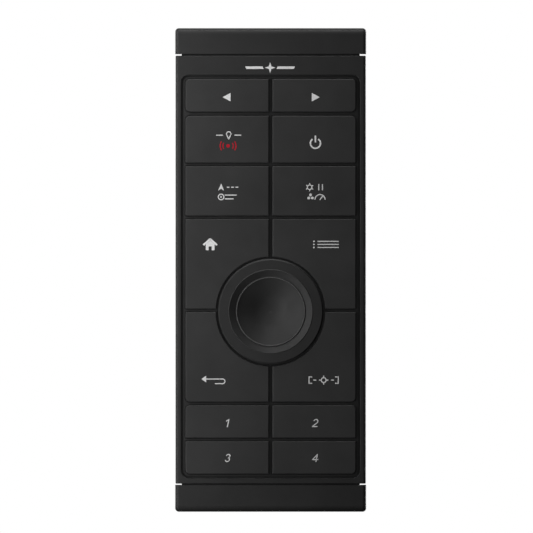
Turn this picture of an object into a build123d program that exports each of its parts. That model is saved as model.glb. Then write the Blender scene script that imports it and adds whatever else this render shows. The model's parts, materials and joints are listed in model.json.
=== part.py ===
from build123d import *
import math
import os

# Helm keypad: a panel-mounted remote control for marine or cockpit displays.
# Fourteen keys surround a knob that turns, presses and tilts like a joystick. Two clip-on trim caps hide the
# mounting screws. A sealed box behind the panel holds the boards, two AA cells and a round power and data port.
#
# Everything is drawn face up: X to the right, Y towards the top cap, Z out of the face, with Z = 0 on the panel.
# write() then stands each piece upright: X right, Y into the panel, Z up. All sizes are in millimetres.

# ---- driving dimensions -------------------------------------------------------------------------------------
LENGTH = 159.0            # whole keypad, over both trim caps
CAP_WIDTH = 62.8          # trim caps
BEZEL_WIDTH = 62.6        # front bezel between them
TOP_SEAM = (70.45, 71.05)       # slot between the bezel and the top cap
BOTTOM_SEAM = (-70.75, -70.25)  # slot between the bezel and the bottom cap
FACE_Z = 10.0             # front face above the panel
BOX_DEPTH = 27.0          # rear box behind the panel
BOX_HALF = (26.7, 65.7)   # rear box, half sizes
WALL = 1.5                # rear box walls

POCKET_HALF = (BEZEL_WIDTH / 2 - 1.0, 69.2)
FLANGE_HALF = (POCKET_HALF[0] - 0.2, POCKET_HALF[1] - 0.2)
TAB_HALF_X = 29.3         # tabs under the caps stop short of the sides, which leaves the pry notches open
TAB_END_Y = LENGTH / 2 - 1.5
PANEL_GAP = 0.2           # bezel and caps stop this far above the panel

# keypad
WINDOW_X = 29.4
KEY_OUTER_X = 28.05
KEY_INNER_X = 0.55
KEY_TOP_Y = 62.8
WINDOW_MARGIN_Y = 1.3
ROW_HEIGHTS = (10.85, 15.5, 16.35, 29.6, 29.6, 10.85, 10.85)
ROW_GAPS = (1.25, 1.05, 1.0, 1.0, 1.0, 1.0)
KEY_Z = FACE_Z + 0.3      # key tops
KEY_TRAVEL = 0.6
KEY_CORNER = 1.5
KEY_SLOT = 0.25           # clearance between a key and the key frame
FRAME_RIM = 0.62          # groove between the key frame's raised ledge and the window

# layers behind the face
FRONT_WALL_Z = FACE_Z - 1.2
FRAME_Z = FRONT_WALL_Z - 1.6
KEY_FLOOR_Z = 6.2
MAT_Z = (5.2, 5.7)
BOARD_Z = (2.4, 4.0)
BOARD_HALF = (28.0, 67.0)
DOME_H = 0.65             # key snap domes

# knob and joystick
KNOB_Y = -13.64
KNOB_R = 13.87
CAP_R = 11.3
DISH_R = 5.2              # where the dish's cone runs into its round bottom
DISH_SLOPE = math.radians(25)
CAP_TOP_Z = 19.6
KNOB_TOP_Z = 20.6
COLLAR_R = (13.2, 17.3)
COLLAR_Z = FACE_Z + 0.8
KEY_CUT_R = 17.9
PIVOT_Z = -3.0
SHAFT_R = 3.0
SHAFT_FLAT = 2.3          # distance from the shaft's axis to its flat
KNOB_TRAVEL = 0.6
RUNNING = 0.03            # radial clearance of a shaft or pin that turns

# fixings
PANEL_HOLES = (24.5, 74.5)
PANEL_HOLE_R = 1.9
CASE_HOLES = (12.0, 74.5)

# battery compartment and connector
CELL_X = 7.6
CELL_R = 7.25
CELL_BODY = 49.3
CELL_NUB = 1.2
BAY_HALF_X = 15.2
BAY_Y = (5.3, 60.3)
BAY_ROOF_Z = -10.2
DOOR_Y = (1.9, 63.7)
DOOR_HALF_X = 22.5
DOOR_SEAT_Z = -BOX_DEPTH + 1.6
DOOR_SCREWS = [(sx * 20.2, y) for sx in (-1, 1) for y in (8.0, 57.6)]
PORT_Y = -50.0
PORT_R = 6.0
PORT_BAY = ((-13.5, 13.5), (-BOX_HALF[1], -35.0))
PORT_ROOF_Z = -15.5
POWER_BOARD_Z = (-10.0, -8.8)


# ---- helpers ------------------------------------------------------------------------------------------------
def block(x, y, z):
    """A box from its ranges along X, Y and Z."""
    centre = [(a + b) / 2 for a, b in (x, y, z)]
    return Pos(*centre) * Box(x[1] - x[0], y[1] - y[0], z[1] - z[0])


def around(half_x, half_y, z):
    """A box centred on the Z axis."""
    return block((-half_x, half_x), (-half_y, half_y), z)


def rounded(x, y, z, radius):
    """A box whose upright edges are rounded."""
    return fillet(block(x, y, z).edges().filter_by(Axis.Z), radius)


def disc(x, y, z, r):
    """An upright cylinder between two heights."""
    return Pos(x, y, (z[0] + z[1]) / 2) * Cylinder(r, z[1] - z[0])


def tube(x, y, z, inner, outer):
    return disc(x, y, z, outer) - disc(x, y, z, inner)


def rod(axis, start, end, r):
    """A cylinder along X or Y from one point to another."""
    length = sum(abs(b - a) for a, b in zip(start, end))
    middle = [(a + b) / 2 for a, b in zip(start, end)]
    turn = Rot(0, 90, 0) if axis == "X" else Rot(90, 0, 0)
    return Pos(*middle) * turn * Cylinder(r, length)


def at_knob(shape):
    return Pos(0, KNOB_Y, 0) * shape


def spun(*points):
    """A solid of revolution about the knob's axis, from the corners of its section as (radius, height)."""
    section = make_face(Polyline(*[(r, 0, z) for r, z in points], close=True))
    return at_knob(revolve(section, Axis.Z))


def screw(x, y, head_z, tip_z, head_r, shank_r):
    """A pan-head screw with a cross recess, its head above head_z and its shank down to tip_z."""
    up = 1 if head_z > tip_z else -1
    head_h = 0.9 * shank_r + 0.3
    head = disc(x, y, sorted((head_z, head_z + up * head_h)), head_r)
    rim = head.edges().filter_by(GeomType.CIRCLE).sort_by(Axis.Z)[-1 if up > 0 else 0]
    head = fillet(rim, 0.35 * head_h)
    slot_z = sorted((head_z + up * 0.4 * head_h, head_z + up * (head_h + 1)))
    for long_x, long_y in ((0.6 * head_r, 0.18 * head_r), (0.18 * head_r, 0.6 * head_r)):
        head -= Pos(x, y, 0) * around(long_x, long_y, slot_z)
    return head + disc(x, y, sorted((tip_z, head_z)), shank_r)


def coil_spring(wire_r, coil_r, height, turns):
    """An open coil spring standing on Z = 0."""
    path = Helix(pitch=height / turns, height=height, radius=coil_r)
    section = Plane(origin=path @ 0, z_dir=path % 0) * Circle(wire_r)
    return sweep(section, path=path, is_frenet=True)


def write(name, shape):
    """Stands a piece upright and writes it as one STEP file."""
    solids = shape.solids() if not isinstance(shape, list) else [s for item in shape for s in item.solids()]
    upright = [Rot(90, 0, 0) * s for s in solids]
    export_step(Compound(children=upright) if len(upright) > 1 else upright[0], f"parts/{name}.step")


# ---- keypad layout ------------------------------------------------------------------------------------------
def row_span(row):
    """The lower and upper edge of a key row."""
    top = KEY_TOP_Y - sum(ROW_HEIGHTS[:row]) - sum(ROW_GAPS[:row])
    return top - ROW_HEIGHTS[row], top


WINDOW_Y = (row_span(6)[0] - WINDOW_MARGIN_Y, KEY_TOP_Y + WINDOW_MARGIN_Y)

# name, row, side, which outer corners are round (upper, lower), and where its switch sits as (|x|, y) or None
KEYS = [
    ("key_page_left", 0, -1, (True, True), None),
    ("key_page_right", 0, 1, (True, True), None),
    ("key_mark", 1, -1, (True, False), None),
    ("key_power", 1, 1, (True, False), None),
    ("key_nav_info", 2, -1, (False, False), None),
    ("key_standby", 2, 1, (False, False), None),
    ("key_home", 3, -1, (False, False), (19.0, 8.5)),
    ("key_menu", 3, 1, (False, False), (19.0, 8.5)),
    ("key_back", 4, -1, (False, True), (19.0, -36.2)),
    ("key_focus", 4, 1, (False, True), (19.0, -36.2)),
    ("key_1", 5, -1, (True, False), None),
    ("key_2", 5, 1, (True, False), None),
    ("key_3", 6, -1, (False, True), None),
    ("key_4", 6, 1, (False, True), None),
]


def switch_place(key):
    _, row, side, _, place = key
    low, high = row_span(row)
    x, y = place or ((KEY_INNER_X + KEY_OUTER_X) / 2, (low + high) / 2)
    return side * x, y


def key_prism(key, z, grow):
    """A key's outline, grown outwards, extruded between two heights."""
    _, row, side, (round_top, round_low), _ = key
    low, high = row_span(row)
    x = sorted((side * (KEY_INNER_X - grow), side * (KEY_OUTER_X + grow)))
    body = block(x, (low - grow, high + grow), z)
    outer_x = side * (KEY_OUTER_X + grow)
    for wanted, y in ((round_top, high + grow), (round_low, low - grow)):
        radius = (KEY_CORNER if wanted else 0.3) + grow
        if radius <= 0.05:
            continue
        corner = body.edges().filter_by(Axis.Z).sort_by_distance(Vertex(outer_x, y, z[0]))[0]
        body = fillet(corner, radius)
    if row in (3, 4):
        body -= disc(0, KNOB_Y, (z[0] - 1, z[1] + 1), KEY_CUT_R - grow)
    return body


# ---- keys and what carries them -----------------------------------------------------------------------------
def key(spec):
    """A hollow key cap with a stem over its switch. Its foot is bonded to the mat."""
    cap = key_prism(spec, (KEY_FLOOR_Z, KEY_Z), 0)
    cap = fillet(cap.faces().sort_by(Axis.Z)[-1].edges(), 0.35)
    cap -= key_prism(spec, (KEY_FLOOR_Z - 1, KEY_Z - 1.3), -1.2)
    x, y = switch_place(spec)
    return cap + disc(x, y, (KEY_FLOOR_Z, KEY_Z - 1.2), 2.2)


def key_frame():
    """The lattice that the keys slide through, clamped behind the bezel's window."""
    plate = rounded((-FLANGE_HALF[0], FLANGE_HALF[0]), (-FLANGE_HALF[1], FLANGE_HALF[1]),
                    (FRAME_Z, FRONT_WALL_Z), 1.0)
    ledge_x = WINDOW_X - FRAME_RIM
    ledge_y = (WINDOW_Y[0] + FRAME_RIM, WINDOW_Y[1] - FRAME_RIM)
    groove = rounded((-WINDOW_X, WINDOW_X), WINDOW_Y, (FRONT_WALL_Z - 0.6, FRONT_WALL_Z), 2.6)
    plate -= groove - rounded((-ledge_x, ledge_x), ledge_y, (FRAME_Z, FACE_Z), 2.0)
    plate += rounded((-ledge_x, ledge_x), ledge_y, (FRONT_WALL_Z, FRONT_WALL_Z + 0.3), 2.0)
    plate -= disc(0, KNOB_Y, (FRAME_Z - 1, FACE_Z), KEY_CUT_R - KEY_SLOT)
    for spec in KEYS:
        plate -= key_prism(spec, (FRAME_Z - 1, FACE_Z), KEY_SLOT)
    return plate


def key_mat():
    """A silicone sheet: sealing beads at its rims, a plinth under each key and a nub over each switch."""
    mat = around(FLANGE_HALF[0], FLANGE_HALF[1], (MAT_Z[0], FRAME_Z))
    mat -= around(FLANGE_HALF[0] - 1.4, FLANGE_HALF[1] - 1.2, (MAT_Z[1], FRAME_Z + 1))
    mat += disc(0, KNOB_Y, (MAT_Z[0], 7.35), 17.6)
    for spec in KEYS:
        x, y = switch_place(spec)
        mat += key_prism(spec, (MAT_Z[0], KEY_FLOOR_Z), -0.5)
        mat += disc(x, y, (BOARD_Z[1] + DOME_H + 0.05, MAT_Z[0] + 0.1), 1.5)
    return mat - disc(0, KNOB_Y, (0, FACE_Z), COLLAR_R[1] - 0.4)


def front_bezel():
    x = BEZEL_WIDTH / 2
    body = block((-x, x), (BOTTOM_SEAM[1], TOP_SEAM[0]), (PANEL_GAP, FACE_Z))
    sides = body.edges().filter_by(Axis.Y).group_by(Axis.Z)[-1]
    body = fillet(sides, 1.0)
    body = chamfer(body.edges().filter_by(Axis.X).group_by(Axis.Z)[-1], 0.2)
    body -= around(POCKET_HALF[0], POCKET_HALF[1], (0, FRONT_WALL_Z))
    body -= around(TAB_HALF_X + 0.15, LENGTH, (0, 4.6))
    window = rounded((-WINDOW_X, WINDOW_X), WINDOW_Y, (FRONT_WALL_Z - 1, FACE_Z + 1), 2.6)
    body -= window
    rim = [e for e in body.faces().sort_by(Axis.Z)[-1].inner_wires()[0].edges()]
    body = chamfer(rim, 0.18)
    for side in (-1, 1):
        ear_y = sorted((side * (POCKET_HALF[1] + 0.2), side * TAB_END_Y))
        body += block((-TAB_HALF_X, TAB_HALF_X), ear_y, (4.6, 7.0))
        for sx in (-1, 1):
            hole = (sx * PANEL_HOLES[0], side * PANEL_HOLES[1])
            body -= disc(*hole, (4, 8), PANEL_HOLE_R) + disc(*hole, (5.6, 8), 3.3)
            hole = (sx * CASE_HOLES[0], side * CASE_HOLES[1])
            body -= disc(*hole, (4, 8), 1.35) + disc(*hole, (5.5, 8), 2.45)
    return body


def trim_cap(side):
    """A clip-on cap. Its underside clears the tabs and the heads of the mounting screws."""
    inner_y = TOP_SEAM[1] if side > 0 else -BOTTOM_SEAM[0]
    cap = block((-CAP_WIDTH / 2, CAP_WIDTH / 2), (inner_y, LENGTH / 2), (PANEL_GAP, FACE_Z))
    cap = fillet(cap.edges().filter_by(Axis.X).group_by(Axis.Z)[-1].sort_by(Axis.Y)[-1], 2.0)
    for x in (-CAP_WIDTH / 2, CAP_WIDTH / 2):
        flank = [e for e in cap.edges() if abs(e.center().X - x) < 0.01 and e.center().Y > inner_y + 0.1]
        cap = fillet([e for e in flank if e.center().Z > PANEL_GAP + 0.1], 1.2)
    cap -= block((-TAB_HALF_X - 0.2, TAB_HALF_X + 0.2), (inner_y - 1, TAB_END_Y + 0.2), (-1, 7.1))
    cap -= block((-28.3, 28.3), (inner_y + 1.1, TAB_END_Y - 0.8), (7, 8.2))
    return cap if side > 0 else Rot(0, 0, 180) * cap


# ---- rear housing -------------------------------------------------------------------------------------------
def flange():
    """The part of the rear housing above the panel: the rim round the boards and the two screw tabs."""
    body = around(FLANGE_HALF[0], FLANGE_HALF[1], (0, MAT_Z[0]))
    body += around(TAB_HALF_X, TAB_END_Y, (0, 4.5))
    body -= around(BOARD_HALF[0] + 0.2, BOARD_HALF[1] + 0.2, (BOARD_Z[0], MAT_Z[0] + 1))
    gasket = gasket_ring(0.02)
    return body - gasket


def gasket_ring(slack):
    ring = rounded((-28.9 - slack, 28.9 + slack), (-68.0 - slack, 68.0 + slack), (0, 1.0 + slack), 2.0)
    return ring - rounded((-27.3 + slack, 27.3 - slack), (-66.4 + slack, 66.4 - slack), (-1, 2), 1.0)


def rear_box():
    """The box behind the panel with its cavity, the battery bay and the port bay."""
    x, y = BOX_HALF
    body = rounded((-x, x), (-y, y), (-BOX_DEPTH, 1.0), 3.0)
    body = fillet(body.faces().sort_by(Axis.Z)[0].edges(), 1.2)
    inside = rounded((-x + WALL, x - WALL), (-y + WALL, y - WALL), (-BOX_DEPTH + WALL, BOARD_Z[0] + 1), 2.0)
    inside -= block((-30, 30), (0.2, 70), (-BOX_DEPTH, -23.6))
    inside -= block((-BAY_HALF_X - WALL, BAY_HALF_X + WALL), (BAY_Y[0] - WALL, BAY_Y[1] + WALL),
                    (-BOX_DEPTH, BAY_ROOF_Z + WALL))
    for sx, sy in DOOR_SCREWS:
        inside -= disc(sx, sy, (-BOX_DEPTH, -16), 3.0)
    (port_x0, port_x1), (port_y0, port_y1) = PORT_BAY
    inside -= block((port_x0 - WALL, port_x1 + WALL), (port_y0 - 1, port_y1 + WALL),
                    (-BOX_DEPTH, PORT_ROOF_Z + WALL))
    return body, inside


def power_posts():
    """Pads that the power board stands on."""
    return [(sx * 10.4, PORT_Y + sy * 7.0) for sx in (-1, 1) for sy in (-1, 1)]


def board_posts():
    """Posts that the main board is screwed to."""
    return [(sx * 21.5, sy * 60.5) for sx in (-1, 1) for sy in (-1, 1)]


def rear_housing():
    box, inside = rear_box()
    posts = [disc(x, y, (-8.0, BOARD_Z[0]), 2.6) for x, y in board_posts()]
    for post, (x, y) in zip(posts, board_posts()):
        wall_x = math.copysign(BOX_HALF[0] - 1, x)
        inside -= post + block(sorted((x, wall_x)), (y - 1, y + 1), (-8.0, BOARD_Z[0]))
    for x, y in power_posts():
        inside -= disc(x, y, (PORT_ROOF_Z, POWER_BOARD_Z[0]), 1.3)
    body = box + flange() - inside
    body -= rounded((-BAY_HALF_X, BAY_HALF_X), BAY_Y, (-BOX_DEPTH - 1, BAY_ROOF_Z), 1.0)
    body -= rounded((-DOOR_HALF_X - 0.2, DOOR_HALF_X + 0.2), (DOOR_Y[0] - 0.2, DOOR_Y[1] + 0.2),
                    (-BOX_DEPTH - 1, DOOR_SEAT_Z), 2.7)
    body -= seal_ring(0.02)
    (port_x0, port_x1), (port_y0, port_y1) = PORT_BAY
    body -= rounded((port_x0, port_x1), (port_y0 - 5, port_y1), (-BOX_DEPTH - 1, PORT_ROOF_Z), 2.0)
    body -= disc(0, PORT_Y, (PORT_ROOF_Z - 1, PORT_ROOF_Z + 3), 5.25)
    for x, y in board_posts():
        body -= disc(x, y, (-4.0, BOARD_Z[0] + 1), 0.85)
    for x, y in DOOR_SCREWS:
        body -= disc(x, y, (DOOR_SEAT_Z - 1, DOOR_SEAT_Z + 7.5), 1.15)
    for sx in (-1, 1):
        for sy in (-1, 1):
            body -= disc(sx * PANEL_HOLES[0], sy * PANEL_HOLES[1], (-1, 5), PANEL_HOLE_R)
            body -= disc(sx * CASE_HOLES[0], sy * CASE_HOLES[1], (0.8, 5), 1.05)
    body -= disc(-18.0, -16.0, (-BOX_DEPTH - 1, -BOX_DEPTH + 0.7), 4.1)
    for angle in range(0, 360, 72):
        body -= disc(-18.0 + 2.0 * math.cos(math.radians(angle)), -16.0 + 2.0 * math.sin(math.radians(angle)),
                     (-BOX_DEPTH - 1, -BOX_DEPTH + 3), 0.5)
    body -= rounded((-8.0, 22.5), (-28.0, -4.0), (-BOX_DEPTH - 1, -BOX_DEPTH + 0.3), 1.5)
    return body


def seal_ring(slack):
    ring = rounded((-17.4 - slack, 17.4 + slack), (3.1 - slack, 62.5 + slack),
                   (DOOR_SEAT_Z - 0.01, DOOR_SEAT_Z + 1.0 + slack), 2.4)
    return ring - rounded((-16.2 + slack, 16.2 - slack), (4.3 + slack, 61.3 - slack), (-30, -20), 1.2)


def battery_door():
    """The lift-off door: its plate, a shallow locating skirt inside the bay, and two finger grooves."""
    door = rounded((-DOOR_HALF_X, DOOR_HALF_X), DOOR_Y, (-BOX_DEPTH + 0.2, DOOR_SEAT_Z - 0.02), 2.5)
    door = chamfer(door.faces().sort_by(Axis.Z)[0].edges(), 0.3)
    for x, y in DOOR_SCREWS:
        door -= disc(x, y, (-BOX_DEPTH - 1, DOOR_SEAT_Z + 1), 1.35)
        door -= disc(x, y, (-BOX_DEPTH - 1, -BOX_DEPTH + 1.0), 2.1)
    for offset in (-3.0, 0.0, 3.0):
        door -= Pos(0, 32.8 + offset, 0) * around(9.0, 0.6, (-BOX_DEPTH - 1, -BOX_DEPTH + 0.7))
    return door


def door_screw(x, y):
    """A captive slotted screw whose head stays just inside the door's outer face."""
    seat = -BOX_DEPTH + 1.0
    head = disc(x, y, (-BOX_DEPTH + 0.25, seat), 2.0) - Pos(x, y, 0) * around(1.8, 0.25, (-BOX_DEPTH, -26.4))
    return head + disc(x, y, (seat, DOOR_SEAT_Z + 6.5), 1.1)


def vent_membrane():
    return disc(-18.0, -16.0, (-BOX_DEPTH + 0.2, -BOX_DEPTH + 0.69), 4.0)


# ---- boards and electronics ---------------------------------------------------------------------------------
def main_board():
    board = rounded((-BOARD_HALF[0], BOARD_HALF[0]), (-BOARD_HALF[1], BOARD_HALF[1]), BOARD_Z, 1.0)
    board -= disc(0, KNOB_Y, (0, 6), 12.6)
    for x, y in board_posts():
        board -= disc(x, y, (0, 6), 1.1)
    for x, y in collar_screw_places():
        board -= disc(x, y, (0, 6), 1.1)
    return board


def key_domes():
    """Snap domes under the keys' nubs."""
    crown_r = (3.0 ** 2 + DOME_H ** 2) / (2 * DOME_H)
    domes = []
    for spec in KEYS:
        x, y = switch_place(spec)
        ball = Pos(x, y, BOARD_Z[1] + DOME_H - crown_r) * Sphere(crown_r)
        domes.append(ball & disc(x, y, (BOARD_Z[1], BOARD_Z[1] + 1), 3.0))
    return domes


def key_leds():
    """One backlight beside each switch."""
    leds = []
    for spec in KEYS:
        x, y = switch_place(spec)
        inward = math.copysign(5.2, -x)
        leds.append(Pos(x + inward, y, 0) * around(0.8, 0.4, (BOARD_Z[1], BOARD_Z[1] + 0.35)))
    return leds


def board_chips():
    """Packages on the underside of the main board: controller, memory, regulator, coil and passives."""
    top = BOARD_Z[0]
    chips = [
        block((-20, -8), (22, 34), (top - 1.2, top)),
        block((4, 12), (40, 46), (top - 1.0, top)),
        block((-4, 3), (-40, -36), (top - 1.6, top)),
        block((12, 18), (-46, -40), (top - 3.0, top)),
    ]
    for i in range(6):
        chips.append(block((-22 + 3 * i, -20.4 + 3 * i), (16, 17.2), (top - 0.8, top)))
    return chips


def radio_shield():
    """A pressed can over the radio, with its fence soldered to the board."""
    top = BOARD_Z[0]
    can = rounded((2.0, 20.0), (18.0, 33.0), (top - 2.2, top), 0.6)
    return can - block((2.3, 19.7), (18.3, 32.7), (top - 1.9, top + 1))


def board_screws():
    board = [screw(x, y, BOARD_Z[1], -3.0, 1.7, 0.82) for x, y in board_posts()]
    tilt = [screw(sx * 14.0, KNOB_Y, TILT_BOARD_Z[0], TILT_BOARD_Z[1] + 2.5, 1.5, 0.82) for sx in (-1, 1)]
    return board + tilt


def case_screws():
    return [screw(sx * CASE_HOLES[0], sy * CASE_HOLES[1], 5.5, 1.2, 2.2, 1.03)
            for sx in (-1, 1) for sy in (-1, 1)]


# ---- power and data port ------------------------------------------------------------------------------------
def connector_shell():
    """The threaded barrel of the round port, with a hex flange and a key rib in its mouth."""
    shell = disc(0, PORT_Y, (-26.3, PORT_ROOF_Z - 1.6), PORT_R)
    flange_plate = Pos(0, PORT_Y, 0) * extrude(
        Plane.XY.offset(PORT_ROOF_Z - 1.6) * RegularPolygon(9.0, 6), 1.6)
    shell += flange_plate + disc(0, PORT_Y, (PORT_ROOF_Z, PORT_ROOF_Z + WALL + 2.0), 5.2)
    shell -= disc(0, PORT_Y, (-27, -10), 4.65)
    shell -= port_seal(0.02)
    return shell + Pos(0, PORT_Y + 4.4, 0) * around(0.5, 0.5, (-26.0, -20.5))


def port_seal(slack):
    return tube(0, PORT_Y, (PORT_ROOF_Z - 0.8 - slack, PORT_ROOF_Z), 6.0 - slack, 7.4 + slack)


def connector_nut():
    """The nut that clamps the port to the bay's roof from inside."""
    low = PORT_ROOF_Z + WALL
    nut = Pos(0, PORT_Y, 0) * extrude(Plane.XY.offset(low) * RegularPolygon(8.0, 6), 1.6)
    return nut - disc(0, PORT_Y, (low - 1, low + 3), 5.2)


def pin_places():
    ring = [(1.9 * math.cos(math.radians(a)), 1.9 * math.sin(math.radians(a))) for a in (45, 135, 225, 315)]
    return [(0.0, 0.0)] + ring


def connector_insert():
    insert = disc(0, PORT_Y, (-20.0, -12.0), 4.6)
    for x, y in pin_places():
        insert -= disc(x, PORT_Y + y, (-21, -11), 0.5)
    return insert


def connector_pins():
    return [disc(x, PORT_Y + y, (-25.0, -8.0), 0.48) for x, y in pin_places()]


def power_board():
    board = rounded((-12, 12), (PORT_Y - 9, PORT_Y + 9), POWER_BOARD_Z, 1.0)
    for x, y in pin_places():
        board -= disc(x, PORT_Y + y, (-11, -8), 0.5)
    return board


def board_header():
    """A stacking header that carries power and data up to the main board."""
    body = block((-9.0, 9.0), (PORT_Y + 5.0, PORT_Y + 7.6), (-8.8, -4.0))
    for i in range(6):
        x = -6.35 + 2.54 * i
        body += block((x - 0.3, x + 0.3), (PORT_Y + 6.0, PORT_Y + 6.6), (-4.5, BOARD_Z[0]))
    return body


# ---- battery ------------------------------------------------------------------------------------------------
CELL_Z = -17.8
PLATE_T = 0.4


def battery_cells():
    """Two AA cells, laid opposite ways."""
    cells = []
    for side in (-1, 1):
        foot = BAY_Y[1] - PLATE_T - CELL_NUB - CELL_BODY if side < 0 else BAY_Y[0] + PLATE_T + CELL_NUB
        x = side * CELL_X
        can = rod("Y", (x, foot, CELL_Z), (x, foot + CELL_BODY, CELL_Z), CELL_R)
        can = fillet(can.edges().filter_by(GeomType.CIRCLE), 0.6)
        tip = foot + CELL_BODY if side < 0 else foot
        can += rod("Y", (x, tip - 0.3 * side * -1, CELL_Z), (x, tip - side * CELL_NUB, CELL_Z), 2.7)
        cells.append(can)
    return cells


def battery_contacts():
    plates = []
    for side in (-1, 1):
        for y in ((BAY_Y[0], BAY_Y[0] + PLATE_T), (BAY_Y[1] - PLATE_T, BAY_Y[1])):
            plates.append(block((side * CELL_X - 5.5, side * CELL_X + 5.5), y, (CELL_Z - 5, CELL_Z + 5)))
    return plates


def battery_springs():
    """Coil springs at the cells' flat ends."""
    room = BAY_Y[1] - BAY_Y[0] - 2 * PLATE_T - CELL_BODY - CELL_NUB
    wire = 0.35
    coil = coil_spring(wire, 4.2, room - 2 * wire - 0.2, 3.0)
    low = Pos(-CELL_X, BAY_Y[0] + PLATE_T + wire + 0.1, CELL_Z) * Rot(-90, 0, 0) * coil
    high = Pos(CELL_X, BAY_Y[1] - PLATE_T - wire - 0.1, CELL_Z) * Rot(90, 0, 0) * coil
    return [low, high]


# ---- joystick -----------------------------------------------------------------------------------------------
FRAME_PLATE_Z = (0.8, BOARD_Z[0])
TILT_BOARD_Z = (-14.6, -13.4)
GIMBAL_R = (10.2, 12.2)
GIMBAL_Z = (PIVOT_Z - 2.2, PIVOT_Z + 2.2)
LUG_X = (13.0, 15.2)
PIN_R = 1.0
CUP_R = 9.4
CUP_Z = (-11.0, -0.5)
LID_Z = (-0.5, 1.0)
ROTOR_Z = (-6.0, -4.5)


def collar_screw_places():
    places = []
    for angle in (45, 135, 225, 315):
        places.append((15.2 * math.cos(math.radians(angle)), KNOB_Y + 15.2 * math.sin(math.radians(angle))))
    return places


def knob_collar():
    """The fixed ring round the knob. Its neck goes down to the main board and traps the rubber boot."""
    inner, outer = COLLAR_R
    ring = spun((inner, 5.6), (inner, COLLAR_Z - 0.3), (inner + 0.3, COLLAR_Z), (outer - 0.45, COLLAR_Z),
                (outer, COLLAR_Z - 0.45), (outer, 7.4), (16.6, 7.4), (16.6, BOARD_Z[1]), (14.0, BOARD_Z[1]),
                (14.0, 5.6))
    for x, y in collar_screw_places():
        ring -= disc(x, y, (BOARD_Z[1] - 1, 7.5), 0.82)
    return ring


def joystick_boot():
    """A rubber boot from the collar to the shaft, with one soft fold."""
    return spun((13.9, 4.0), (13.9, 5.55), (12.4, 5.55), (11.8, 4.6), (9.2, 3.9), (6.6, 4.6), (4.4, 6.6),
                (SHAFT_R + 0.02, 6.6), (SHAFT_R + 0.02, 5.2), (3.9, 5.2), (6.2, 3.9), (9.2, 3.2), (12.2, 3.9),
                (12.5, 4.0))


def joystick_frame():
    """The plate under the board, with two lugs for the tilt pins and feet for the tilt board."""
    frame = at_knob(disc(0, 0, FRAME_PLATE_Z, 17.0) - disc(0, 0, (0, 3), 12.6))
    for side in (-1, 1):
        lug_x = sorted((side * LUG_X[0], side * LUG_X[1]))
        frame += at_knob(block(lug_x, (-3.5, 3.5), (TILT_BOARD_Z[1], FRAME_PLATE_Z[1])))
        frame -= at_knob(disc(side * 14.0, 0, (TILT_BOARD_Z[1] - 1, TILT_BOARD_Z[1] + 3), 0.84))
    for side in (-1, 1):
        frame -= rod("X", (side * 12.5, KNOB_Y, PIVOT_Z), (side * 15.0, KNOB_Y, PIVOT_Z), PIN_R)
    for x, y in collar_screw_places():
        frame -= disc(x, y, (0, 3), 1.1)
    return frame


def collar_screws():
    return [screw(x, y, FRAME_PLATE_Z[0], 6.6, 1.5, 0.8) for x, y in collar_screw_places()]


def tilt_pins():
    """Pins pressed into the frame's lugs, on which the gimbal ring tilts."""
    return [rod("X", (side * 10.6, KNOB_Y, PIVOT_Z), (side * 15.0, KNOB_Y, PIVOT_Z), PIN_R) for side in (-1, 1)]


def gimbal_ring():
    ring = at_knob(tube(0, 0, GIMBAL_Z, *GIMBAL_R))
    for side in (-1, 1):
        ring -= rod("X", (side * 9, KNOB_Y, PIVOT_Z), (side * 13, KNOB_Y, PIVOT_Z), PIN_R + RUNNING)
        ring -= rod("Y", (0, KNOB_Y + side * 9, PIVOT_Z), (0, KNOB_Y + side * 13, PIVOT_Z), PIN_R)
    return ring


def stick_pins():
    """Pins pressed into the gimbal ring, on which the encoder cup tilts the other way."""
    return [rod("Y", (0, KNOB_Y + side * 8.4, PIVOT_Z), (0, KNOB_Y + side * 12.0, PIVOT_Z), PIN_R)
            for side in (-1, 1)]


def encoder_cup():
    """The stationary half of the rotary encoder, hung in the gimbal, with four feet over the tilt switches."""
    cup = at_knob(disc(0, 0, CUP_Z, CUP_R) - disc(0, 0, (ROTOR_Z[0] - 0.1, 0), 7.9) - disc(0, 0, (-9.0, 0), 5.4))
    for side in (-1, 1):
        cup -= rod("Y", (0, KNOB_Y + side * 8.2, PIVOT_Z), (0, KNOB_Y + side * 10, PIVOT_Z), PIN_R + RUNNING)
    for x, y in ((8, 0), (-8, 0), (0, 8), (0, -8)):
        cup += at_knob(disc(x, y, (-12.0, CUP_Z[0] + 0.5), 1.2))
    return cup


def encoder_lid():
    lid = at_knob(disc(0, 0, LID_Z, CUP_R) + disc(0, 0, (ROTOR_Z[1] + 0.1, LID_Z[0]), 7.85))
    lid -= at_knob(disc(0, 0, (-9, -0.5), 5.4))
    return lid - at_knob(disc(0, 0, (-2, 2), SHAFT_R + RUNNING))


def d_section(z, r, flat):
    """A round bar with one flat, as a solid between two heights."""
    return at_knob(disc(0, 0, z, r) - block((flat, r + 1), (-r - 1, r + 1), (z[0] - 1, z[1] + 1)))


def encoder_rotor():
    """The rotor: a toothed detent wheel on a hub that the shaft's flat slides through."""
    rotor = at_knob(disc(0, 0, ROTOR_Z, 7.3) + disc(0, 0, (ROTOR_Z[0], -2.1), 5.0))
    for i in range(24):
        angle = math.radians(15 * i)
        rotor -= at_knob(disc(7.5 * math.cos(angle), 7.5 * math.sin(angle), (-7, -1), 0.5))
    return rotor - d_section((-7, -1), SHAFT_R + 0.04, SHAFT_FLAT + 0.04)


def push_dome():
    """The switch that the shaft presses."""
    crown = at_knob(disc(0, 0, (-9.0, -8.0), 3.0) + disc(0, 0, (-8.0, SHAFT_TIP_Z), 1.2))
    return crown


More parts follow.
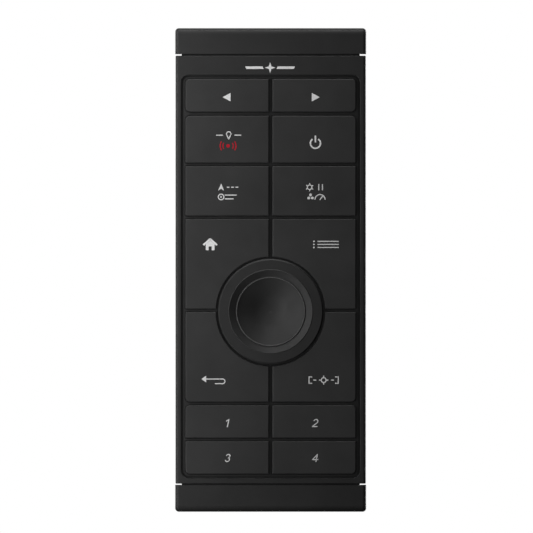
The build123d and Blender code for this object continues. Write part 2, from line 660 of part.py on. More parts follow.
def tilt_board():
    board = at_knob(disc(0, 0, TILT_BOARD_Z, 12.6))
    board += at_knob(block((-16, 16), (-3.5, 3.5), TILT_BOARD_Z))
    for side in (-1, 1):
        board -= at_knob(disc(side * 14.0, 0, (-16, -12), 1.0))
    return board


def tilt_switches():
    """Four switches under the encoder cup's feet."""
    top = TILT_BOARD_Z[1]
    return [at_knob(Pos(x, y, 0) * around(1.8, 1.8, (top, top + 0.4)) + disc(x, y, (top + 0.4, top + 0.7), 0.9))
            for x, y in ((8, 0), (-8, 0), (0, 8), (0, -8))]


def centering_spring():
    wire = 0.25
    height = CUP_Z[0] - TILT_BOARD_Z[1] - 2 * wire - 0.06
    return at_knob(Pos(0, 0, TILT_BOARD_Z[1] + wire + 0.03) * coil_spring(wire, 4.4, height, 3.0))


# ---- knob ---------------------------------------------------------------------------------------------------
SHAFT_TIP_Z = -7.6
SHAFT_TOP_Z = 13.3
CORE_TOP_Z = 14.8
KNOB_FOOT_Z = 7.6


def knob_shaft():
    """The steel shaft: a flat for the rotor below, one for the knob above, and a groove for its clip."""
    shaft = at_knob(disc(0, 0, (SHAFT_TIP_Z, SHAFT_TOP_Z), SHAFT_R))
    shaft -= at_knob(block((SHAFT_FLAT, 4), (-4, 4), (SHAFT_TIP_Z - 1, -1.4)))
    shaft -= at_knob(block((SHAFT_FLAT, 4), (-4, 4), (8.8, SHAFT_TOP_Z + 1)))
    return shaft - at_knob(tube(0, 0, (-1.15, -0.6), 2.5, 4))


def shaft_clip():
    """An open ring in the shaft's groove that stops the shaft pulling out of the encoder."""
    ring = at_knob(tube(0, 0, (-1.1, -0.65), 2.52, 4.4))
    return ring - at_knob(block((-1.2, 1.2), (0, 5), (-2, 0)))


def knob_core():
    """The moulded core: a hub on the shaft and a drum under the grip."""
    core = spun((0, CORE_TOP_Z), (10.6, CORE_TOP_Z), (10.6, KNOB_FOOT_Z), (9.4, KNOB_FOOT_Z), (9.4, 13.0),
                (5.4, 13.0), (5.4, 9.0), (0, 9.0))
    return core - d_section((8, SHAFT_TOP_Z), SHAFT_R + 0.01, SHAFT_FLAT + 0.01)


def knob_grip():
    """The soft sleeve: a waisted side, a crisp lip and the outer part of the thumb dish."""
    lip_z = KNOB_TOP_Z
    well_r = CAP_R + 0.3
    side = Spline((11.9, 0, 9.2), (11.6, 0, 12.0), (12.2, 0, 15.6), (KNOB_R, 0, lip_z - 0.2))
    rest = Polyline((KNOB_R, 0, lip_z - 0.2), (KNOB_R - 0.2, 0, lip_z), (well_r + 0.2, 0, CAP_TOP_Z),
                    (well_r, 0, CAP_TOP_Z - 0.2), (well_r, 0, CORE_TOP_Z), (10.62, 0, CORE_TOP_Z),
                    (10.62, 0, KNOB_FOOT_Z), (11.9, 0, KNOB_FOOT_Z), (11.9, 0, 9.2))
    return at_knob(revolve(make_face([side, rest]), Axis.Z))


def knob_cap():
    """The thumb pad let into the top of the grip: a shallow cone with a round bottom and a beaded rim."""
    rim_r, rim_z = CAP_R - 0.35, CAP_TOP_Z - 0.2
    ball_r = DISH_R / math.sin(DISH_SLOPE)
    ball_z = rim_z - (rim_r - DISH_R) * math.tan(DISH_SLOPE) + ball_r * math.cos(DISH_SLOPE)
    half = DISH_SLOPE / 2
    bottom = ThreePointArc((0, 0, ball_z - ball_r),
                           (ball_r * math.sin(half), 0, ball_z - ball_r * math.cos(half)),
                           (DISH_R, 0, ball_z - ball_r * math.cos(DISH_SLOPE)))
    rest = Polyline(bottom @ 1, (rim_r, 0, rim_z), (CAP_R - 0.2, 0, CAP_TOP_Z), (CAP_R, 0, CAP_TOP_Z - 0.15),
                    (CAP_R, 0, 18.6), (CAP_R + 0.2, 0, 18.5), (CAP_R + 0.2, 0, CORE_TOP_Z), (0, 0, CORE_TOP_Z),
                    bottom @ 0)
    return at_knob(revolve(make_face([bottom, rest]), Axis.Z))


# ---- write every piece --------------------------------------------------------------------------------------
def main():
    os.makedirs("parts", exist_ok=True)
    for spec in KEYS:
        write(spec[0], key(spec))
    write("top_trim_cap", trim_cap(1))
    write("bottom_trim_cap", trim_cap(-1))
    write("panel_gasket", gasket_ring(0))
    write("sealing_rings", [seal_ring(0), port_seal(0)])
    write("door_screws", [door_screw(x, y) for x, y in DOOR_SCREWS])
    pieces = (
        rear_housing, front_bezel, key_frame, key_mat, main_board, key_domes, key_leds, board_chips,
        radio_shield, board_screws, case_screws, battery_door, vent_membrane, connector_shell,
        connector_nut, connector_insert, connector_pins, power_board, board_header, battery_cells, battery_contacts,
        battery_springs, knob_collar, collar_screws, joystick_boot, joystick_frame, tilt_pins, gimbal_ring,
        stick_pins, encoder_cup, encoder_lid, encoder_rotor, push_dome, tilt_board, tilt_switches,
        centering_spring, knob_shaft, shaft_clip, knob_core, knob_grip, knob_cap,
    )
    for piece in pieces:
        write(piece.__name__, piece())


main()
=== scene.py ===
import json
import math

import bmesh
import bpy
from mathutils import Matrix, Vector


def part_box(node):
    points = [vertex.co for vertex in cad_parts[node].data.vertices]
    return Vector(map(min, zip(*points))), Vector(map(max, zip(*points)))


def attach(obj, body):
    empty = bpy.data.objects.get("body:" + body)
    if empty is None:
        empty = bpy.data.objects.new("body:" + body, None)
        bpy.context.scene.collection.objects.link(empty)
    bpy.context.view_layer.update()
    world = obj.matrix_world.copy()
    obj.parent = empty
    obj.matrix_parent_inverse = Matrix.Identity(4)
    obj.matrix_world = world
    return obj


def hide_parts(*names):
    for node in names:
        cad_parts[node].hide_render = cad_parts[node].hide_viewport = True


# The looks of a helm keypad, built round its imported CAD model: moulded plastics, rubber and metals, the key
# legends, a threaded port, and soft light over a plain pale floor. The scene is in metres: x to the right,
# y into the panel, z up. The legends are drawn in millimetres, as seen face on.

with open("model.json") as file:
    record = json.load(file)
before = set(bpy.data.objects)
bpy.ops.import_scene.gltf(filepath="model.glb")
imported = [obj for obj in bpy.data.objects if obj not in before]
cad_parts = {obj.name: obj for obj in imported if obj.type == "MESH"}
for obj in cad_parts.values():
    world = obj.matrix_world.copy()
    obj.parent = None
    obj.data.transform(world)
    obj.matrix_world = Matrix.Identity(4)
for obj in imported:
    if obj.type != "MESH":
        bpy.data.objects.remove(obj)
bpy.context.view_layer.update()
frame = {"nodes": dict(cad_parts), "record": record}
nodes = frame["nodes"]
MM = 0.001                          # metres


# ---- materials ---------------------------------------------------------------------------------------------
def new_material(name):
    """A material with its Principled shader and a node-building helper."""
    mat = bpy.data.materials.new(name)
    mat.use_nodes = True
    tree = mat.node_tree
    shader = tree.nodes["Principled BSDF"]

    def add(kind, inputs=None, **settings):
        node = tree.nodes.new(kind)
        for key, value in settings.items():
            setattr(node, key, value)
        for key, value in (inputs or {}).items():
            if hasattr(value, "is_output"):
                tree.links.new(value, node.inputs[key])
            else:
                node.inputs[key].default_value = value
        return node

    return mat, shader, tree, add


def ramp(add, source, stops, interpolation="LINEAR"):
    """A colour ramp through (position, colour) stops."""
    node = add("ShaderNodeValToRGB", {"Fac": source})
    node.color_ramp.interpolation = interpolation
    elements = node.color_ramp.elements
    while len(elements) < len(stops):
        elements.new(0.5)
    for element, (position, colour) in zip(elements, stops):
        element.position = position
        element.color = (*colour, 1)
    return node.outputs["Color"]


def grey(value, warm=0.0):
    """An even grey, or one a little warm."""
    return (value * (1 + warm), value, value * (1 - warm))


def plastic(name, colour, roughness, grain_mm=0.12, grain=0.35, specular=0.5, mottle=0.10, smudge=0.06):
    """Moulded plastic: spark-eroded grain, faint flow mottle, and roughness that drifts a little."""
    mat, shader, tree, add = new_material(name)
    place = add("ShaderNodeTexCoord").outputs["Object"]
    flow = add("ShaderNodeTexNoise", {"Vector": place, "Scale": 55.0, "Detail": 3.0, "Roughness": 0.55})
    low, high = ([c * (1 + s * mottle) for c in colour] for s in (-1, 1))
    tree.links.new(ramp(add, flow.outputs["Fac"], [(0.3, low), (0.7, high)]), shader.inputs["Base Color"])
    haze = add("ShaderNodeTexNoise", {"Vector": place, "Scale": 240.0, "Detail": 4.0, "Roughness": 0.6})
    rough = add("ShaderNodeMapRange", {"Value": haze.outputs["Fac"], "From Min": 0.25, "From Max": 0.75,
                                       "To Min": roughness - smudge, "To Max": roughness + smudge})
    tree.links.new(rough.outputs["Result"], shader.inputs["Roughness"])
    pits = add("ShaderNodeTexVoronoi", {"Vector": place, "Scale": 1 / (grain_mm * MM)}, feature="SMOOTH_F1")
    pits.inputs["Smoothness"].default_value = 0.6
    fine = add("ShaderNodeTexNoise", {"Vector": place, "Scale": 0.45 / (grain_mm * MM), "Detail": 2.0})
    height = add("ShaderNodeMath", {0: pits.outputs["Distance"], 1: fine.outputs["Fac"]}, operation="ADD")
    bump = add("ShaderNodeBump", {"Height": height.outputs["Value"], "Strength": grain,
                                  "Distance": 0.02 * MM})
    tree.links.new(bump.outputs["Normal"], shader.inputs["Normal"])
    shader.inputs["Specular IOR Level"].default_value = specular
    return mat


def rubber(name, colour, roughness=0.62, grain=0.25, sheen=0.08, specular=0.25):
    """Moulded elastomer: a soft sheen, dusty mottling and a very fine grain."""
    mat = plastic(name, colour, roughness, grain_mm=0.16, grain=grain, specular=specular, mottle=0.16)
    shader = mat.node_tree.nodes["Principled BSDF"]
    shader.inputs["Sheen Weight"].default_value = sheen
    shader.inputs["Sheen Roughness"].default_value = 0.5
    return mat


def metal(name, colour, roughness, brush_mm=(0.05, 4.0), along="Z", bump_strength=0.15, stain=0.06):
    """Drawn or turned metal, with fine tool marks along one axis and a little tarnish."""
    mat, shader, tree, add = new_material(name)
    place = add("ShaderNodeTexCoord").outputs["Object"]
    fine, length = (1 / (size * MM) for size in brush_mm)
    stretch = {"X": (length, fine, fine), "Y": (fine, length, fine), "Z": (fine, fine, length)}[along]
    scaled = add("ShaderNodeMapping", {"Vector": place, "Scale": stretch}).outputs["Vector"]
    marks = add("ShaderNodeTexNoise", {"Vector": scaled, "Scale": 1.0, "Detail": 3.0}).outputs["Fac"]
    cloud = add("ShaderNodeTexNoise", {"Vector": place, "Scale": 400.0, "Detail": 3.0}).outputs["Fac"]
    low, high = ([c * (1 + s * stain) for c in colour] for s in (-1, 1))
    tree.links.new(ramp(add, cloud, [(0.35, low), (0.65, high)]), shader.inputs["Base Color"])
    rough = add("ShaderNodeMapRange", {"Value": marks, "From Min": 0.3, "From Max": 0.7,
                                       "To Min": roughness * 0.75, "To Max": roughness * 1.3})
    tree.links.new(rough.outputs["Result"], shader.inputs["Roughness"])
    bump = add("ShaderNodeBump", {"Height": marks, "Strength": bump_strength, "Distance": 0.01 * MM})
    tree.links.new(bump.outputs["Normal"], shader.inputs["Normal"])
    shader.inputs["Metallic"].default_value = 1.0
    return mat


def circuit_board():
    """Green solder mask over a run of copper tracks."""
    mat, shader, tree, add = new_material("circuit_board")
    place = add("ShaderNodeTexCoord").outputs["Object"]
    face_on = add("ShaderNodeMapping", {"Vector": place, "Rotation": (math.radians(90), 0, 0)})
    tracks = add("ShaderNodeTexBrick", {
        "Vector": face_on.outputs["Vector"], "Scale": 160.0,
        "Mortar Size": 0.06, "Brick Width": 1.7, "Row Height": 0.35,
        "Color1": (0.012, 0.085, 0.032, 1), "Color2": (0.014, 0.10, 0.038, 1),
        "Mortar": (0.035, 0.17, 0.06, 1)})
    tree.links.new(tracks.outputs["Color"], shader.inputs["Base Color"])
    bump = add("ShaderNodeBump", {"Height": tracks.outputs["Fac"], "Strength": 0.3, "Distance": 0.03 * MM})
    tree.links.new(bump.outputs["Normal"], shader.inputs["Normal"])
    shader.inputs["Roughness"].default_value = 0.3
    shader.inputs["Coat Weight"].default_value = 0.4
    shader.inputs["Coat Roughness"].default_value = 0.15
    return mat


HALF_CELLS = 27 * MM      # the bands are spread over this far on each side of the cells' middle


def cell_jacket():
    """A plain printed battery sleeve: a dark body, a copper-coloured end band and bare metal at the tips."""
    mat, shader, tree, add = new_material("cell_jacket")
    place = add("ShaderNodeTexCoord").outputs["Object"]
    split = add("ShaderNodeSeparateXYZ", {"Vector": place})
    # the two cells lie side by side and point opposite ways
    side = add("ShaderNodeMath", {0: split.outputs["X"]}, operation="SIGN").outputs["Value"]
    lo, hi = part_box("battery_cells")
    middle = (lo.z + hi.z) / 2
    from_middle = add("ShaderNodeMath", {0: split.outputs["Z"], 1: middle}, operation="SUBTRACT")
    along = add("ShaderNodeMath", {0: from_middle.outputs["Value"], 1: side}, operation="MULTIPLY")
    share = add("ShaderNodeMapRange", {"Value": along.outputs["Value"],
                                       "From Min": -HALF_CELLS, "From Max": HALF_CELLS})
    steel, copper, dark = (0.62, 0.60, 0.56), (0.62, 0.30, 0.12), (0.030, 0.034, 0.045)
    bands = [(0.0, steel), (0.05, copper), (0.27, dark), (0.955, steel)]
    tree.links.new(ramp(add, share.outputs["Result"], bands, "CONSTANT"), shader.inputs["Base Color"])
    shader.inputs["Roughness"].default_value = 0.28
    shader.inputs["Metallic"].default_value = 0.55
    shader.inputs["Coat Weight"].default_value = 0.5
    return mat


def legend(name, colour, roughness=0.5):
    """Pad-printed ink: nearly even, with a faint speckle."""
    mat, shader, tree, add = new_material(name)
    place = add("ShaderNodeTexCoord").outputs["Object"]
    speckle = add("ShaderNodeTexNoise", {"Vector": place, "Scale": 5200.0, "Detail": 2.0}).outputs["Fac"]
    low = [c * 0.9 for c in colour]
    tree.links.new(ramp(add, speckle, [(0.35, low), (0.6, colour)]), shader.inputs["Base Color"])
    shader.inputs["Roughness"].default_value = roughness
    return mat


materials = {
    "key_plastic": plastic("key_plastic", grey(0.0398), 0.50, grain_mm=0.14, grain=0.30, specular=0.32),
    "bezel_plastic": plastic("bezel_plastic", grey(0.0305), 0.52, grain_mm=0.18, grain=0.40, specular=0.32),
    "housing_plastic": plastic("housing_plastic", grey(0.0290), 0.55, grain_mm=0.30, grain=0.60,
                               specular=0.35),
    "grip_rubber": rubber("grip_rubber", grey(0.0330), roughness=0.56, specular=0.36),
    "silicone": rubber("silicone", grey(0.0300), roughness=0.7),
    "seal_rubber": rubber("seal_rubber", grey(0.0150), roughness=0.8, grain=0.6),
    "circuit_board": circuit_board(),
    "chip_plastic": plastic("chip_plastic", grey(0.018), 0.45, grain_mm=0.08, grain=0.3),
    "spring_steel": metal("spring_steel", grey(0.60, 0.01), 0.22),
    "tinned_steel": metal("tinned_steel", grey(0.62, 0.01), 0.32, brush_mm=(0.08, 3.0), along="X"),
    "shaft_steel": metal("shaft_steel", grey(0.58), 0.2, brush_mm=(0.04, 1.0), along="X"),
    "screw_steel": metal("screw_steel", grey(0.24, 0.01), 0.42, brush_mm=(0.06, 0.8), along="X"),
    "nickel_brass": metal("nickel_brass", (0.60, 0.57, 0.50), 0.25, brush_mm=(0.05, 1.5), along="X"),
    "gold_contacts": metal("gold_contacts", (0.90, 0.62, 0.22), 0.18, brush_mm=(0.05, 1.0), along="Y"),
    "contact_plate": metal("contact_plate", (0.68, 0.66, 0.61), 0.25, brush_mm=(0.06, 3.0), along="X"),
    "acetal": plastic("acetal", (0.70, 0.68, 0.62), 0.4, grain_mm=0.2, grain=0.15),
    "cell_jacket": cell_jacket(),
    "led_lens": plastic("led_lens", (0.80, 0.72, 0.40), 0.2, grain=0.05),
    "vent_film": plastic("vent_film", grey(0.17), 0.8, grain_mm=0.10, grain=0.8),
}
ink = legend("legend_ink", grey(0.88))
ink_red = legend("legend_red", (0.52, 0.002, 0.018))
ink_bright = legend("mark_ink", grey(0.97))

for part in frame["record"]["subparts"]:
    obj = nodes[part["node"]]
    obj.data.materials.clear()
    obj.data.materials.append(materials[part["material_slot"]])


# ---- mesh helpers ------------------------------------------------------------------------------------------
def new_piece(name, mesh, material):
    """An object made from a finished bmesh, with one material."""
    data = bpy.data.meshes.new(name)
    mesh.to_mesh(data)
    mesh.free()
    data.materials.append(material)
    obj = bpy.data.objects.new(name, data)
    bpy.context.collection.objects.link(obj)
    return obj


def ring(mesh, middle, sides, radius_at):
    """A ring of points round the y axis, with its radius given by the angle."""
    x, y, z = middle
    points = []
    for i in range(sides):
        a = 2 * math.pi * i / sides
        r = radius_at(a)
        points.append(mesh.verts.new((x + r * math.cos(a), y, z + r * math.sin(a))))
    return points


def skin(mesh, rings):
    """Joins rings into one closed band, the last ring to the first."""
    for a, b in zip(rings, rings[1:] + rings[:1]):
        for i in range(len(a)):
            j = (i + 1) % len(a)
            mesh.faces.new([a[i], a[j], b[j], b[i]])
    bmesh.ops.recalc_face_normals(mesh, faces=mesh.faces[:])


# ---- flat shapes for the printed legends -------------------------------------------------------------------
INK_PROUD, INK_SUNK = 0.03, 0.01    # the print's front and back, from the face it is on
JOINT = 0.6                         # how far the pieces of a bent line run past its corners, in line widths
ARC_STEP = 9                        # degrees of arc to a piece


class Shape:
    """A flat drawing in millimetres that becomes one thin printed mesh."""

    def __init__(self):
        self.mesh = bmesh.new()

    def face(self, points):
        """A convex outline."""
        self.mesh.faces.new([self.mesh.verts.new((x, 0, z)) for x, z in points])
        return self

    def bar(self, x, z, width, height, turn=0.0):
        """A rectangle about its middle, turned anticlockwise."""
        c, s = math.cos(math.radians(turn)), math.sin(math.radians(turn))
        corners = [(-1, -1), (1, -1), (1, 1), (-1, 1)]
        return self.face([(x + (a * width * c - b * height * s) / 2, z + (a * width * s + b * height * c) / 2)
                          for a, b in corners])

    def arc(self, x, z, radius, line, start=0.0, end=360.0):
        """A line along an arc, between two angles measured anticlockwise from the right."""
        steps = max(6, int(abs(end - start) / ARC_STEP))
        rows = []
        for i in range(steps + 1):
            a = math.radians(start + (end - start) * i / steps)
            rows.append([self.mesh.verts.new((x + r * math.cos(a), 0, z + r * math.sin(a)))
                         for r in (radius - line / 2, radius + line / 2)])
        for (a, b), (c, d) in zip(rows, rows[1:]):
            self.mesh.faces.new([a, b, d, c])
        return self

    def dot(self, x, z, radius, sides=28):
        """A filled disc."""
        angles = [2 * math.pi * i / sides for i in range(sides)]
        return self.face([(x + radius * math.cos(a), z + radius * math.sin(a)) for a in angles])

    def line(self, points, width):
        """A line through points, with square joints."""
        for (x0, z0), (x1, z1) in zip(points, points[1:]):
            turn = math.degrees(math.atan2(z1 - z0, x1 - x0))
            length = math.hypot(x1 - x0, z1 - z0) + width * JOINT
            self.bar((x0 + x1) / 2, (z0 + z1) / 2, length, width, turn)
        return self

    def lean(self, slope):
        """Slants the drawing to the right."""
        for vert in self.mesh.verts:
            vert.co.x += slope * vert.co.z
        return self

    def print_on(self, name, place, depth, material, body, slot):
        """Prints the drawing on the plane y = depth, with its origin at place = (x, z) in millimetres."""
        bmesh.ops.remove_doubles(self.mesh, verts=self.mesh.verts, dist=1e-5)
        for face in self.mesh.faces:
            if face.normal.y > 0:
                face.normal_flip()
        made = bmesh.ops.extrude_face_region(self.mesh, geom=self.mesh.faces[:])
        for vert in (v for v in made["geom"] if isinstance(v, bmesh.types.BMVert)):
            vert.co.y -= INK_PROUD + INK_SUNK
        bmesh.ops.recalc_face_normals(self.mesh, faces=self.mesh.faces[:])
        for vert in self.mesh.verts:
            vert.co = Vector(((vert.co.x + place[0]) * MM, depth + (vert.co.y + INK_SUNK) * MM,
                              (vert.co.z + place[1]) * MM))
        obj = new_piece(name, self.mesh, material)
        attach(obj, body)


def numeral(number):
    """A numeral drawn in strokes, 2.7 mm tall and leaning to the right."""
    drawing = Shape()
    if number == 1:
        drawing.line([(-0.62, 0.62), (0.12, 1.17), (0.12, -1.24)], STROKE)
    elif number == 2:
        drawing.arc(0, 0.50, 0.68, STROKE, 168, -38)
        drawing.line([(0.54, 0.08), (-0.78, -1.17), (0.86, -1.17)], STROKE)
    elif number == 3:
        drawing.arc(0, 0.60, 0.58, STROKE, 165, -88).arc(0, -0.53, 0.65, STROKE, 88, -165)
    else:
        drawing.line([(0.42, -1.24), (0.42, 1.15), (-0.86, -0.52), (0.95, -0.52)], STROKE)
    return drawing.lean(0.21)


def key_face(key):
    """The y of a key's printed face."""
    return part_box(key)[0].y


# ---- key legends -------------------------------------------------------------------------------------------
# Plain drawings stand where words would be: each is about as wide and tall as its word.
THIN = 0.33                         # line width of the drawings
STROKE = 0.32                       # line width of the numerals
LEFT, RIGHT = -14.1, 14.7           # middles of the two columns


def print_key(drawing, name, place, key, material):
    """Prints a drawing on a key's face."""
    drawing.print_on(name, place, key_face(key), material, key, "key_plastic")


for side, key in ((-1, "key_page_left"), (1, "key_page_right")):
    arrow = Shape().face([(side * 1.3, 0), (-side * 1.3, 1.4), (-side * 1.3, -1.4)])
    print_key(arrow, key + "_arrow", (14.65 * side + 0.15, 56.8), key, ink_bright)

pin = Shape().arc(0, 0.42, 0.72, THIN, -35, 215).line([(-0.66, 0.08), (0, -1.25), (0.66, 0.08)], THIN)
for side in (-1, 1):
    pin.bar(side * 3.0, 0, 2.2, THIN)
print_key(pin, "mark_pin", (-13.8, 44.3), "key_mark", ink)

beacon = Shape().dot(0, 0, 0.6)
for side in (0, 180):
    for radius in (1.7, 2.6):
        beacon.arc(0, 0, radius, THIN + 0.04, side - 34, side + 34)
print_key(beacon, "distress_beacon", (-14.0, 40.8), "key_mark", ink_red)

power = Shape().arc(0, -0.35, 1.65, 0.5, 125, 415).bar(0, 1.05, 0.5, 2.2)
print_key(power, "power_mark", (RIGHT, 42.0), "key_power", ink_bright)

course = Shape().face([(-3.2, -1.15), (-2.2, -0.5), (-2.2, 1.2)])
course.face([(-2.2, -0.5), (-1.2, -1.15), (-2.2, 1.2)])
for i in range(3):
    course.bar(0.1 + 1.45 * i, 0, 0.85, THIN)
print_key(course, "course_mark", (LEFT, 27.2), "key_nav_info", ink)

info = Shape().arc(-2.2, 0, 0.92, 0.34).dot(-2.2, 0, 0.3)
info.bar(0.95, 0.62, 3.9, THIN).bar(0.45, -0.62, 2.9, THIN)
print_key(info, "info_mark", (LEFT, 24.0), "key_nav_info", ink)

wheel = Shape().arc(-1.9, 0, 0.74, 0.34)
for i in range(6):
    turn = 60 * i + 30
    a = math.radians(turn)
    wheel.bar(-1.9 + 1.12 * math.cos(a), 1.12 * math.sin(a), 0.42, 0.32, turn)
wheel.bar(1.1, 0, THIN, 2.1).bar(2.3, 0, THIN, 2.1)
print_key(wheel, "helm_standby_mark", (RIGHT, 27.2), "key_standby", ink)

engine = Shape()
for i in range(3):
    a = math.radians(120 * i + 90)
    engine.dot(-1.6 + 0.68 * math.cos(a), 0.68 * math.sin(a), 0.46)
engine.arc(1.5, -0.85, 1.65, THIN, 0, 180).line([(1.5, -0.85), (2.3, 0.2)], 0.34)
print_key(engine, "engine_mark", (RIGHT, 24.0), "key_standby", ink)

home = Shape().line([(-2.1, -0.1), (0, 1.75), (2.1, -0.1)], 0.62)
home.face([(-1.45, -1.9), (-0.5, -1.9), (-0.5, 0.05), (-1.45, 0.05)])
home.face([(0.5, -1.9), (1.45, -1.9), (1.45, 0.05), (0.5, 0.05)])
home.face([(-1.45, 0.05), (1.45, 0.05), (0, 1.25)])
home.face([(-0.5, -0.65), (0.5, -0.65), (0.5, 0.05), (-0.5, 0.05)])
print_key(home, "home_mark", (-19.9, 8.4), "key_home", ink_bright)

rows = Shape()
for i in range(3):
    rows.dot(-3.9, 1.0 - 1.0 * i, 0.27).bar(0.75, 1.0 - 1.0 * i, 7.0, THIN)
print_key(rows, "menu_rows", (18.1, 8.4), "key_menu", ink)

back = Shape().face([(-4.2, 0.35), (-2.6, 1.45), (-2.6, -0.75)])
back.bar(0.1, 0.35, 5.4, THIN).arc(2.8, -0.4, 0.75, THIN, -90, 90).bar(1.5, -1.15, 2.6, THIN)
print_key(back, "return_arrow", (-18.6, -36.2), "key_back", ink)

focus = Shape().arc(0, 0, 0.8, 0.36)
for side in (-1, 1):
    focus.bar(0, side * 1.2, 0.32, 0.5).bar(side * 1.25, 0, 0.6, 0.32).bar(side * 2.9, 0, 1.0, THIN)
    focus.bar(side * 4.8, 0, THIN, 2.5).bar(side * 4.3, 1.05, 1.1, THIN).bar(side * 4.3, -1.05, 1.1, THIN)
print_key(focus, "focus_frame", (17.4, -36.2), "key_focus", ink)

for number, place in ((1, (LEFT, -50.3)), (2, (RIGHT, -50.3)), (3, (LEFT, -61.8)), (4, (RIGHT, -61.8))):
    print_key(numeral(number), f"digit_{number}", place, f"key_{number}", ink)

# a plain compass star between two slanted rules, on the strip above the keys
star = Shape()
for i in range(4):
    a = math.radians(90 * i)
    tip = (1.75 * math.cos(a), 1.75 * math.sin(a))
    for turn in (-1, 1):
        b = a + turn * math.radians(45)
        star.face([(0, 0), tip, (0.62 * math.cos(b), 0.62 * math.sin(b))][::turn])
for side in (-1, 1):
    star.face([(side * x, z) for x, z in ((2.5, 0.42), (8.2, 0.42), (7.8, -0.42), (2.1, -0.42))][::side])
star.print_on("trim_star", (-0.2, 66.5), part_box("front_bezel")[0].y, ink_bright, "housing", "bezel_plastic")


# ---- bright line round the thumb pad: a painted highlight --------------------------------------------------
def rim_highlight_bead():
    """A fine bead that seats in the groove round the thumb pad, coloured pale grey as a painted highlight on
    the rim's edge.
    """
    lo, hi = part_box("knob_cap")
    x, z = (lo.x + hi.x) / 2, (lo.z + hi.z) / 2
    sides, margin = 160, 0.2 * MM
    outer = (hi.x - lo.x) / 2 - margin
    # the bead's section: how far each corner lies inside its outer edge, and behind the pad's front
    section = [(0.26, 0.10), (0.20, -0.06), (0.06, -0.06), (0.0, 0.08), (0.0, 0.30), (0.22, 0.30)]
    mesh = bmesh.new()
    skin(mesh, [ring(mesh, (x, lo.y + behind * MM, z), sides, lambda a: outer - inside * MM)
                for inside, behind in section])
    obj = new_piece("thumb_rim_highlight", mesh, painted_rim_highlight)
    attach(obj, "knob")


# pale grey, far lighter than the knob's own plastic: a painted highlight along the edge of the thumb pad's
# rim
painted_rim_highlight = plastic("painted_rim_highlight", grey(0.125), 0.30, grain_mm=0.2, grain=0.1)
rim_highlight_bead()


# ---- threaded port -----------------------------------------------------------------------------------------
def threaded_barrel():
    """The port's barrel with its thread cut, in place of the plain CAD shell."""
    lo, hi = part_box("connector_shell")
    x, z = (lo.x + hi.x) / 2, (lo.z + hi.z) / 2
    mouth, root = hi.y, lo.y
    bore, tube, neck = 4.65 * MM, 5.2 * MM, 5.6 * MM
    flat, flat_edge = 7.79 * MM, 7.6 * MM       # the hexagon's flats from the axis, and their bevelled edges
    turned = 1.125                              # how far the hexagon's corners reach, against its flats
    bevel = 0.25 * MM
    flange_back, flange_front = mouth - 10.8 * MM, mouth - 9.2 * MM
    pitch, crest, groove = 1.0 * MM, 6.0 * MM, 5.45 * MM
    thread_start, thread_length, run_out = flange_front + 0.4 * MM, 8.4 * MM, 0.9 * MM
    rings_per_turn = 10
    sides = 96
    mesh = bmesh.new()
    rings = []

    def round_ring(y, radius):
        rings.append(ring(mesh, (x, y, z), sides, lambda a: radius))

    def hexagon_ring(y, apothem):
        """A hexagon with its corners turned off."""
        def radius(a):
            sector = (a + math.pi / 6) % (math.pi / 3) - math.pi / 6
            return min(apothem / math.cos(sector), apothem * turned)
        rings.append(ring(mesh, (x, y, z), sides, radius))

    def thread_ring(y):
        """A helical thread with blunt crests and roots, which fades out towards the mouth."""
        def radius(a):
            wave = abs(((y / pitch - a / (2 * math.pi)) % 1.0) * 2 - 1)
            blunt = min(1.0, max(0.0, wave * 1.25 - 0.12))
            fade = max(0.0, min(1.0, (mouth - y) / run_out))
            return groove + (crest - groove) * blunt * fade
        rings.append(ring(mesh, (x, y, z), sides, radius))

    round_ring(root, 4.7 * MM)
    round_ring(root, tube)
    round_ring(flange_back, tube)
    hexagon_ring(flange_back, flat_edge)
    hexagon_ring(flange_back + bevel, flat)
    hexagon_ring(flange_front - bevel, flat)
    hexagon_ring(flange_front, flat_edge)
    round_ring(flange_front, neck)
    for i in range(int(thread_length / pitch * rings_per_turn) + 1):
        thread_ring(thread_start + i * pitch / rings_per_turn)
    round_ring(mouth - bevel, 5.4 * MM)
    round_ring(mouth, tube)
    round_ring(mouth, 4.8 * MM)
    round_ring(mouth - 0.2 * MM, bore)
    round_ring(root, bore)
    skin(mesh, rings)
    # the key rib in the mouth
    width, length, height = 1.0 * MM, 5.6 * MM, 0.8 * MM
    rib_y, rib_z = mouth - 3.2 * MM, z + 4.35 * MM
    for vert in bmesh.ops.create_cube(mesh, size=1.0)["verts"]:
        vert.co = Vector((x + vert.co.x * width, rib_y + vert.co.y * length, rib_z + vert.co.z * height))
    bmesh.ops.recalc_face_normals(mesh, faces=mesh.faces[:])
    obj = new_piece("port_barrel", mesh, materials["nickel_brass"])
    obj.data.shade_smooth()
    obj.data.set_sharp_from_angle(angle=math.radians(38))
    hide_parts("connector_shell")
    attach(obj, "housing")


threaded_barrel()


# ---- light, floor and camera -------------------------------------------------------------------------------
def area_light(name, place, target, size, power, shadows=True):
    """A soft panel of light, aimed at a point. One without shadows only fills."""
    data = bpy.data.lights.new(name, "AREA")
    data.shape = "RECTANGLE"
    data.size, data.size_y = size
    data.energy = power
    data.use_shadow = shadows
    obj = bpy.data.objects.new(name, data)
    bpy.context.collection.objects.link(obj)
    obj.location = place
    obj.rotation_euler = (Vector(target) - Vector(place)).to_track_quat("-Z", "Y").to_euler()


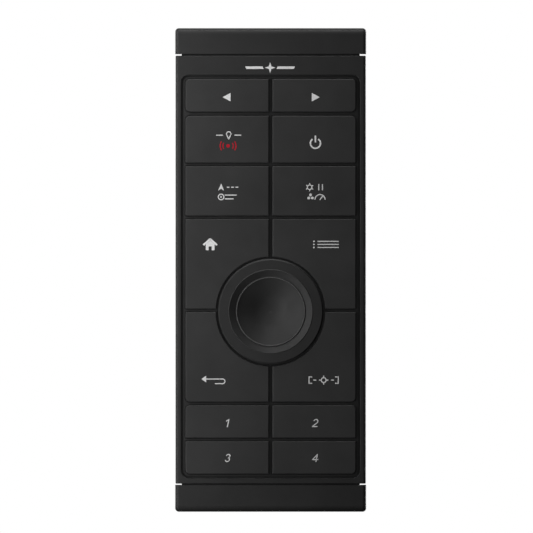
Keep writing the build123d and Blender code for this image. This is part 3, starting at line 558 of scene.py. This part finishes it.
MIDDLE = (0, 0, 0)
BESIDE, STRIP = (-0.098, -0.084, 0.012), (0.05, 0.32)    # close in on the left, tall and narrow
PANEL = (0.4, 0.4)
area_light("key_left", BESIDE, MIDDLE, STRIP, 0.155)
area_light("fill_left", BESIDE, MIDDLE, STRIP, 0.098, shadows=False)
area_light("top_strip", (0, -0.07, 0.38), (0, 0, 0.02), (0.30, 0.12), 0.62)
area_light("side_left", (-0.41, 0.42, 0.10), MIDDLE, PANEL, 1.9)
area_light("side_right", (0.41, 0.42, 0.05), MIDDLE, PANEL, 2.9)
area_light("back_top", (0.05, 0.58, 0.24), MIDDLE, PANEL, 0.45)
# the knob stands in the soft light without throwing a hard shadow over the keys
for name in ("knob_grip", "knob_cap", "knob_core", "knob_shaft"):
    nodes[name].visible_shadow = False

# the camera sees a white surround, and the surfaces get only a little light from it
SEEN, SHED = 1.0, 0.025
world = bpy.data.worlds.new("surround")
bpy.context.scene.world = world
world.use_nodes = True
tree = world.node_tree
shed = tree.nodes["Background"]
seen = tree.nodes.new("ShaderNodeBackground")
for background, strength in ((shed, SHED), (seen, SEEN)):
    background.inputs["Color"].default_value = (1, 1, 1, 1)
    background.inputs["Strength"].default_value = strength
mix = tree.nodes.new("ShaderNodeMixShader")
tree.links.new(tree.nodes.new("ShaderNodeLightPath").outputs["Is Camera Ray"], mix.inputs["Fac"])
tree.links.new(shed.outputs["Background"], mix.inputs[1])
tree.links.new(seen.outputs["Background"], mix.inputs[2])
tree.links.new(mix.outputs["Shader"], tree.nodes["World Output"].inputs["Surface"])

# a pale floor a little below the object, which throws no light back at it
FLOOR_HALF, FLOOR_Z = 0.32, -0.15
pale, pale_shader = new_material("pale_floor")[:2]
pale_shader.inputs["Base Color"].default_value = (0.86, 0.86, 0.86, 1)
pale_shader.inputs["Roughness"].default_value = 0.8
pale_shader.inputs["Emission Color"].default_value = (1, 1, 1, 1)
pale_shader.inputs["Emission Strength"].default_value = 0.72
floor_mesh = bmesh.new()
bmesh.ops.create_grid(floor_mesh, x_segments=1, y_segments=1, size=FLOOR_HALF)
floor = new_piece("floor", floor_mesh, pale)
floor.location = (0, 0, FLOOR_Z)
floor.visible_diffuse = False
floor.visible_glossy = False

camera_data = bpy.data.cameras.new("camera")
camera = bpy.data.objects.new("camera", camera_data)
bpy.context.collection.objects.link(camera)
bpy.context.scene.camera = camera
camera_data.lens = 1000.0
camera_data.sensor_width = 36.0
VIEW_WIDTH = 0.1752                 # what the camera takes in, from side to side
FACE_Y = -0.010                     # the plane that width is measured in
VIEW_MIDDLE = (-0.00138, 0.00114)   # x and z at the picture's middle
distance = VIEW_WIDTH * camera_data.lens / camera_data.sensor_width
camera.location = (VIEW_MIDDLE[0], FACE_Y - distance, VIEW_MIDDLE[1])
camera.rotation_euler = (math.radians(90), 0, 0)
camera_data.clip_end = 50.0

view = bpy.context.scene.view_settings
view.view_transform = "Standard"
view.look = "None"
view.exposure = 0.0
view.gamma = 1.0
